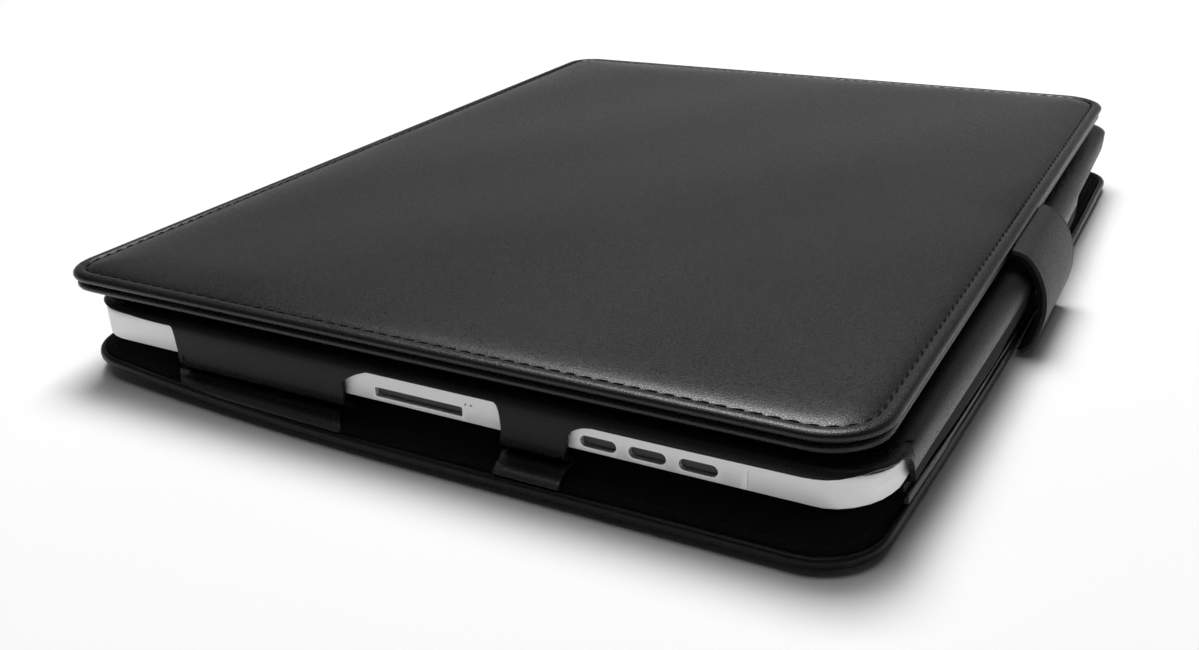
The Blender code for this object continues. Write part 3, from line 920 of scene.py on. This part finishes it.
stations = [station for side in range(4) for station in side_stations(side)]
frame_rows = 8
hung_rows = len(WALL) + len(FLANGE)
all_rows = frame_rows + FOLD_ROWS + hung_rows
sleeve, cells = new_grid("sleeve_leather", len(stations), all_rows)
gone = set()
columns = []
for side, part in stations + stations[:1]:
    place = place_along(side, part)
    wall, foot = hanging(side, place)
    in_x, in_y, _, _ = side_place(WINDOW_OUTLINE, 0.0, side, part)
    top_x, top_y, _, _ = side_place(FRAME_OUTLINE, FOLD[0][0], side, part)
    span = math.hypot(top_x - in_x, top_y - in_y)
    column = []
    for reach, height in ((0.5, 18.75), (0.1, 18.95), (0.0, 19.3), (0.15, 19.6), (0.6, 19.78), (1.6, 19.84),
                          (span * 0.5, 19.83), (span, 19.8)):
        share = reach / span
        column.append((in_x + (top_x - in_x) * share, in_y + (top_y - in_y) * share, height))
    length = fold_length(foot)
    for row in range(1, FOLD_ROWS + 1):
        inset, height = fold_point(length * row / FOLD_ROWS, FOLD)
        x, y, out_x, _ = side_place(FRAME_OUTLINE, inset, side, part)
        bulge = 0.0
        if side == 1:
            bulge = steps_between(place, SIDE_BULGE) * blend_between(19.7 - height, 0.0, 3.4)
        column.append((x + bulge * out_x, y, height))
    column += [wall_point(side, part, spot) for spot in WALL]
    column += [flange_point(side, part, spot) for spot in FLANGE]
    columns.append((column, wall))
for vert, (column, row) in zip(sleeve.data.vertices, cells):
    vert.co = Vector(columns[column][0][row if row < len(columns[column][0]) else -1]) * MM
bpy.ops.object.mode_set(mode="EDIT")
bpy.ops.mesh.select_all(action="DESELECT")
bpy.ops.mesh.select_mode(type="FACE")
bpy.ops.object.mode_set(mode="OBJECT")
foot_row = frame_rows + FOLD_ROWS - 1
for polygon in sleeve.data.polygons:
    corners = [cells[index] for index in polygon.vertices]
    low_row = min(row for _, row in corners)
    lacks_wall = not all(columns[column][1] for column, _ in corners)
    polygon.select = low_row >= foot_row and (lacks_wall or low_row >= foot_row + hung_rows)
bpy.ops.object.mode_set(mode="EDIT")
bpy.ops.mesh.delete(type="FACE")
bpy.ops.mesh.select_all(action="SELECT")
bpy.ops.mesh.remove_doubles(threshold=0.00002)
bpy.ops.object.mode_set(mode="OBJECT")
centre = sum((polygon.normal.z for polygon in sleeve.data.polygons if polygon.center.z > 0.0195), 0.0)
if centre < 0:
    edit_all(sleeve, bpy.ops.mesh.flip_normals)
apply_modifier(sleeve, "SOLIDIFY", thickness=0.98 * MM, offset=-1.0)
ease_edges(sleeve, 0.28)
# Painted shade and light: the sleeve is one leather, given copies by place. The near end and the strap-side
# wall below its crest get copies that reflect less, as painted shade; the flanges get a lighter, glossier
# copy, as painted light.
SLEEVE_FINISHES = (
    ("sleeve_leather_black", 0.010, 0.017, 0.30, 0.40, 0.32),
    ("sleeve_leather_near_end", 0.012, 0.020, 0.24, 0.34, 0.12),
    ("sleeve_leather_flange", 0.022, 0.034, 0.30, 0.42, 0.6),
    ("sleeve_leather_rubbed", 0.014, 0.024, 0.55, 0.65, 0.02),
)
for finish, dark, light, gloss, dull, sheen in SLEEVE_FINISHES:
    sleeve.data.materials.append(leather(finish, dark, light, gloss, dull, 1700.0, 0.000014, 26.0, sheen))
# Painted shade on the near-end wall and the lower strap-side wall, painted light on the flanges.
for polygon in sleeve.data.polygons:
    middle = polygon.center / MM
    if middle.y < -118.6 and middle.x < 92.0:
        polygon.material_index = 1 if middle.z > 6.3 else 2
    elif middle.x > 90.0 and middle.z < 15.6:
        polygon.material_index = 3 if middle.z > 5.98 else 2
smooth(sleeve, 50)
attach(sleeve, "back")
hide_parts("sleeve_frame", "side_wall_right", "side_wall_left", "end_strap_wide",
            "end_strap_narrow")
refinish("frame_lining", suede)

near_seam = [(x, -117.0 + 0.15 * math.sin(x / 3.0), 19.98) for x in range(56, 90, 2)]
near_seam += [(92.3, -113.6, 19.98), (93.5, -110.1, 19.92), (94.5, -107.8, 19.72), (95.7, -107.0, 19.2)]
near_seam = [(point, (0.0, 0.0, 1.0)) for point in near_seam]
sewn_line("sleeve_corner_stitching", near_seam, 2.6, 2.5, 0.42, 0.0, 0.24, thread_black, "back")


def hung_seam(name, side, place, first, last):
    """Stitches down a wall at one place along its side, from its row first to its row last."""
    part = side_part(FRAME_OUTLINE, side, place)
    _, _, out_x, out_y = side_place(FRAME_OUTLINE, 0.0, side, part)
    path = [(wall_point(side, part, spot), (out_x, out_y, 0.1)) for spot in WALL[first:last]]
    sewn_line(name, path, 2.4, 2.3, 0.36, 0.02, 0.1, thread_black, "back")


def foot_seam(name, side, low, high, row):
    """Stitches along a flange at one of its rows, from low to high along its side."""
    steps = max(int(abs(high - low) / 3.0), 2)
    path = []
    for step in range(steps + 1):
        part = side_part(FRAME_OUTLINE, side, low + (high - low) * step / steps)
        path.append((flange_point(side, part, FLANGE[row]), (0.0, 0.0, 1.0)))
    sewn_line(name, path, 3.2, 2.9, 0.42, 0.04, 0.14, thread_black, "back")


hung_seam("wide_strap_end_stitching", 0, -63.4, 0, 8)
hung_seam("side_wall_end_stitching", 1, -107.6, 0, 8)
foot_seam("wide_strap_foot_stitching", 0, -64.0, -19.0, 6)
foot_seam("strap_side_foot_stitching", 1, -106.0, 45.0, 0)
foot_seam("strap_side_flange_stitching", 1, -106.0, 45.0, 6)
foot_seam("spine_side_foot_stitching", 3, -102.0, 98.0, 6)


# Front cover: outer leather
# The cover is a padded panel of smooth fine-grained leather. It swells over thin foam, dips to a
# stitched groove near its edge, and its rim is rolled over a second layer underneath.

COVER_OUTLINE = dict(x=(-100.2, 93.7), y=(-123.7, 124.1), radii=(9.5, 13.0, 13.0, 9.5), bow=0.0, rake=0.0)


def cover_swell(x, y, inset):
    """The padding's soft unevenness, and the pull of the strap at the strap side."""
    grow = blend_between(inset, 3.6, 16.0)
    wave = 0.16 * math.sin(x / 31.0 + 0.6) * math.cos(y / 43.0 - 0.4) + 0.09 * math.sin(x / 13.0 - y / 19.0)
    pull = -0.35 * math.exp(-(((x - 88.0) / 9.0) ** 2 + ((y + 2.0) / 16.0) ** 2)) if inset > 3.0 else 0.0
    return grow * wave + pull


cover_skin = stretched_skin(
    "cover_leather_padded",
    COVER_OUTLINE,
    (
        (2.2, 24.25),
        (1.3, 24.25),
        (0.75, 24.35),
        (0.35, 24.6),
        (0.1, 24.95),
        (0.0, 25.35),
        (0.1, 25.75),
        (0.4, 26.1),
        (0.85, 26.33),
        (1.4, 26.44),
        (2.0, 26.46),
        (2.45, 26.34),
        (2.8, 26.12),
        (3.1, 26.02),
        (3.4, 26.1),
        (3.8, 26.28),
        (4.6, 26.5),
        (6.0, 26.72),
        (8.0, 26.9),
        (11.0, 27.05),
        (15.0, 27.15),
        (20.0, 27.18),
    ),
    110,
    134,
    cover_swell,
)
apply_modifier(cover_skin, "SOLIDIFY", thickness=0.7 * MM, offset=-1.0)
cover_leather = leather("cover_leather_black", 0.006, 0.011, 0.27, 0.33, 2100.0, 0.000016, 14.0, 0.38)
cover_skin.data.materials.append(cover_leather)
smooth(cover_skin, 60)
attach(cover_skin, "cover")
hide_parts("cover_leather")
refinish("cover_foam", speckled("foam_dark", (0.03, 0.03, 0.03), (0.07, 0.07, 0.07), 1600.0, 0.9, 0.0002))
refinish("cover_board", fibre_board)

sewn_line("cover_stitching", panel_row(COVER_OUTLINE, 3.1, 26.14), 3.3, 3.15, 0.44, 0.0, 0.2,
          thread_black, "cover")


# Front cover: underlay
# Under the padded leather lies a second layer, bound in leather round its own rolled edge. The real layer is
# lined with microfibre towards the screen; here that face is drawn in the cover's leather too.

underlay = stretched_skin(
    "cover_underlay_leather",
    COVER_OUTLINE,
    (
        (2.2, 24.0),
        (1.4, 23.95),
        (0.95, 23.75),
        (0.65, 23.4),
        (0.55, 22.95),
        (0.7, 22.5),
        (1.1, 22.2),
        (1.7, 22.08),
        (3.0, 22.05),
        (6.0, 22.05),
        (9.0, 22.05),
    ),
    88,
    112,
)
edit_all(underlay, bpy.ops.mesh.flip_normals)
apply_modifier(underlay, "SOLIDIFY", thickness=0.6 * MM, offset=-1.0)
underlay.data.materials.append(cover_leather)
smooth(underlay, 60)
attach(underlay, "cover")
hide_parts("cover_lining")


# Spine
# A narrow flat panel joins the two covers: leather outside, a strip of board, microfibre inside.

def layer(name, x, y, z, cuts, bevel):
    """A flat upright layer with eased edges."""
    bpy.ops.object.select_all(action="DESELECT")
    bpy.ops.mesh.primitive_cube_add(size=1.0)
    piece = bpy.context.object
    piece.name = name
    piece.data.name = name
    for vert in piece.data.vertices:
        vert.co.x = (x[0] if vert.co.x < 0 else x[1]) * MM
        vert.co.y = (y[0] if vert.co.y < 0 else y[1]) * MM
        vert.co.z = (z[0] if vert.co.z < 0 else z[1]) * MM
    edit_all(piece, lambda: bpy.ops.mesh.subdivide(number_cuts=cuts))
    apply_modifier(piece, "BEVEL", width=bevel * MM, segments=3, limit_method="ANGLE")
    smooth(piece, 40)
    return piece


spine_skin = layer("spine_leather_panel", (-101.4, -100.4), (-109.0, 109.0), (5.0, 21.6), 3, 0.3)
spine_skin.data.materials.append(back_leather)
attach(spine_skin, "spine")
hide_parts("spine_leather")
refinish("spine_board", fibre_board)
refinish("spine_lining", suede)


def crease_strip(name, profile, half, thickness, material):
    """Soft leather across one crease, built in place at rest: profile is (x, z)."""
    piece, cells = new_grid(name, 60, len(profile) - 1)
    for vert, (column, row) in zip(piece.data.vertices, cells):
        x, z = profile[row]
        y = half * (2 * column / 60 - 1)
        puckered = 0.12 * math.sin(column * 0.9) * math.sin(math.pi * row / (len(profile) - 1))
        vert.co = ((x - puckered) * MM, y * MM, z * MM)
    facing = sum(polygon.normal.x for polygon in piece.data.polygons)
    if facing > 0:
        edit_all(piece, bpy.ops.mesh.flip_normals)
    apply_modifier(piece, "SOLIDIFY", thickness=thickness * MM, offset=-1.0)
    ease_edges(piece, 0.2)
    piece.data.materials.append(material)
    smooth(piece, 50)
    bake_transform(piece)
    return piece


crease_strip("lower_crease_leather",
             ((-96.0, 0.05), (-97.5, 0.02), (-99.0, 0.1), (-100.2, 0.45), (-101.1, 1.2), (-101.55, 2.3),
              (-101.7, 3.6), (-101.75, 5.0), (-101.75, 6.4), (-101.6, 7.8), (-101.45, 8.6)),
             108.6, 0.7, back_leather)
crease_strip("upper_crease_leather",
             ((-101.45, 18.0), (-101.6, 18.8), (-101.75, 20.0), (-101.75, 21.4), (-101.65, 22.6),
              (-101.45, 23.6), (-101.15, 24.4), (-100.7, 25.0), (-100.2, 25.3), (-99.8, 25.35)),
             108.6, 0.7, back_leather)


# Closing strap
# A short leather strap comes out from under the cover's edge, bends over the side and tucks against
# the back panel's edge, where the magnet in its tip holds it. It is leather outside and microfibre
# inside, with a creased line along both edges.

STRAP_CURVE = ((93.7, 24.66), (97.0, 23.7), (99.4, 21.4), (101.3, 18.1), (102.5, 14.4), (102.9, 10.6),
               (102.3, 6.6), (101.0, 3.0), (98.8, 0.9))
STRAP_Y = (-21.0, 14.5)


strap_leather = leather("strap_leather_black", 0.017, 0.027, 0.42, 0.52, 1900.0, 0.00002, 30.0, 0.33)


def strap_place(part):
    """The outer face of the strap at part from its root to its tip, and its direction outwards."""
    last = len(STRAP_CURVE) - 1
    where = min(max(part, 0.0), 1.0) * last
    index = min(int(where), last - 1)
    t = where - index
    before = STRAP_CURVE[max(index - 1, 0)]
    start, end = STRAP_CURVE[index], STRAP_CURVE[index + 1]
    after = STRAP_CURVE[min(index + 2, last)]
    point = []
    slope = []
    for a, b, c, d in zip(before, start, end, after):
        point.append(0.5 * (2 * b + (c - a) * t + (2 * a - 5 * b + 4 * c - d) * t**2
                            + (3 * b - a - 3 * c + d) * t**3))
        slope.append(0.5 * ((c - a) + 2 * (2 * a - 5 * b + 4 * c - d) * t
                            + 3 * (3 * b - a - 3 * c + d) * t**2))
    length = math.hypot(*slope)
    return point[0], point[1], -slope[1] / length, slope[0] / length


def strap_skin(name, depth, thickness, narrower, sink, material):
    """One layer of the strap as a bent grid given its thickness."""
    piece, cells = new_grid(name, 24, 40)
    low, high = STRAP_Y[0] + narrower, STRAP_Y[1] - narrower
    for vert, (column, row) in zip(piece.data.vertices, cells):
        across = column / 24
        spread = (1 - math.cos(math.pi * across)) / 2
        y = low + (high - low) * spread
        from_edge = min(y - low, high - y)
        x, z, out_x, out_z = strap_place(row / 40)
        thinner = 1.0 - 0.4 * blend_between(row / 40, 0.75, 1.0)
        lower = depth * thinner + sink * math.exp(-((from_edge - 1.7) / 0.4) ** 2)
        y -= 3.6 * blend_between(row / 40, 0.35, 1.0)
        vert.co = ((x - out_x * lower) * MM, y * MM, (z - out_z * lower) * MM)
    facing = sum(polygon.normal.x for polygon in piece.data.polygons)
    if facing < 0:
        edit_all(piece, bpy.ops.mesh.flip_normals)
    apply_modifier(piece, "SOLIDIFY", thickness=thickness * MM, offset=-1.0)
    ease_edges(piece, 0.22)
    piece.data.materials.append(material)
    smooth(piece, 50)
    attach(piece, "strap")
    return piece


strap_outer = strap_skin("strap_leather_outer", 0.0, 1.1, 0.0, 0.2, strap_leather)
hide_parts("strap_leather")
strap_inner = strap_skin("strap_microfibre_inner", 1.12, 1.0, 0.06, 0.0, suede)
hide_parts("strap_lining")
strap_root = crease_strip("strap_root_leather",
                          ((96.4, 22.95), (95.8, 23.35), (95.1, 23.7), (94.4, 23.95), (93.6, 24.1),
                           (92.0, 24.15), (89.0, 24.15)),
                          14.0, 0.6, strap_leather)
for vert in strap_root.data.vertices:
    vert.co.y -= 3.2 * MM
refinish("strap_magnet", speckled("magnet_rubber", (0.045, 0.038, 0.034), (0.07, 0.06, 0.055), 1500.0, 0.7,
                                  0.00003))
